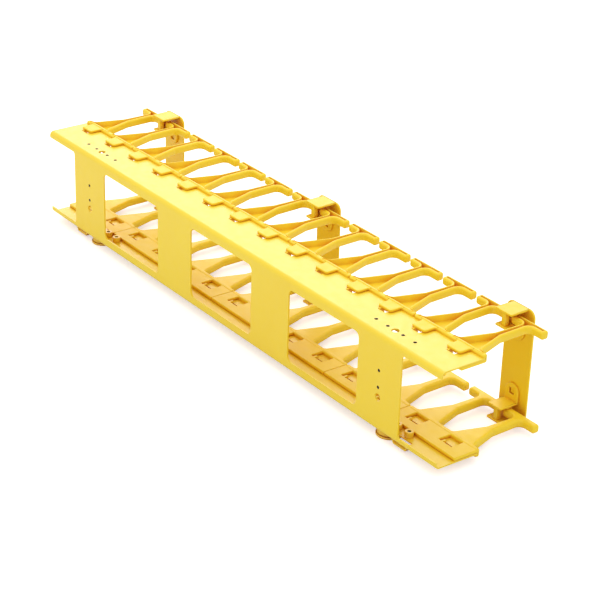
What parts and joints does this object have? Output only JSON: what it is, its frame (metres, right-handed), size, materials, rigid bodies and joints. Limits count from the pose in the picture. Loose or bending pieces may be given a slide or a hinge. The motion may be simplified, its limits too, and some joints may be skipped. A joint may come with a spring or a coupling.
{
  "type": "vertical cable manager",
  "caption": "Vertical cable manager for a rack: a folded channel with clip-on cable fingers along both flanges and pull-off gates that close the front.",
  "frame": {"origin": "middle of the overall box's bottom face, the plane the manager lies on with its mounting buttons down", "axes": "+X along the channel, towards the end nearer the camera; +Y from the back web to the cable fingers; +Z from the lower flange to the upper one"},
  "size_m": [0.622, 0.1254, 0.1064],
  "materials": {
    "channel": "powder coat, fine orange peel",
    "fingers": "moulded, fine texture",
    "gates": "moulded, fine texture",
    "fixings": "coated with the channel"
  },
  "bodies": {
    "manager": {"back_channel": "channel", "upper_fingers_1": "fingers", "upper_fingers_2": "fingers", "upper_fingers_3": "fingers", "upper_fingers_4": "fingers", "upper_fingers_5": "fingers", "upper_fingers_6": "fingers", "upper_fingers_7": "fingers", "lower_fingers_1": "fingers", "lower_fingers_2": "fingers", "lower_fingers_3": "fingers", "lower_fingers_4": "fingers", "lower_fingers_5": "fingers", "lower_fingers_6": "fingers", "lower_fingers_7": "fingers", "mounting_button_near": "fixings", "mounting_button_far": "fixings", "button_nut_near": "fixings", "button_nut_far": "fixings", "lower_standoffs_near": "fixings", "lower_standoffs_far": "fixings", "upper_standoffs_near": "fixings", "upper_standoffs_far": "fixings"},
    "gate_1": {"gate_strap_1": "gates", "gate_upper_clip_1": "gates", "gate_lower_clip_1": "gates"},
    "gate_2": {"gate_strap_2": "gates", "gate_upper_clip_2": "gates", "gate_lower_clip_2": "gates"},
    "gate_3": {"gate_strap_3": "gates", "gate_upper_clip_3": "gates", "gate_lower_clip_3": "gates"}
  },
  "joints": [
    {"name": "gate_1_pull", "type": "slide", "parent": "manager", "child": "gate_1", "axis": [0, 1, 0], "range_m": [0, 0.016]},
    {"name": "gate_2_pull", "type": "slide", "parent": "manager", "child": "gate_2", "axis": [0, 1, 0], "range_m": [0, 0.016]},
    {"name": "gate_3_pull", "type": "slide", "parent": "manager", "child": "gate_3", "axis": [0, 1, 0], "range_m": [0, 0.016]}
  ]
}
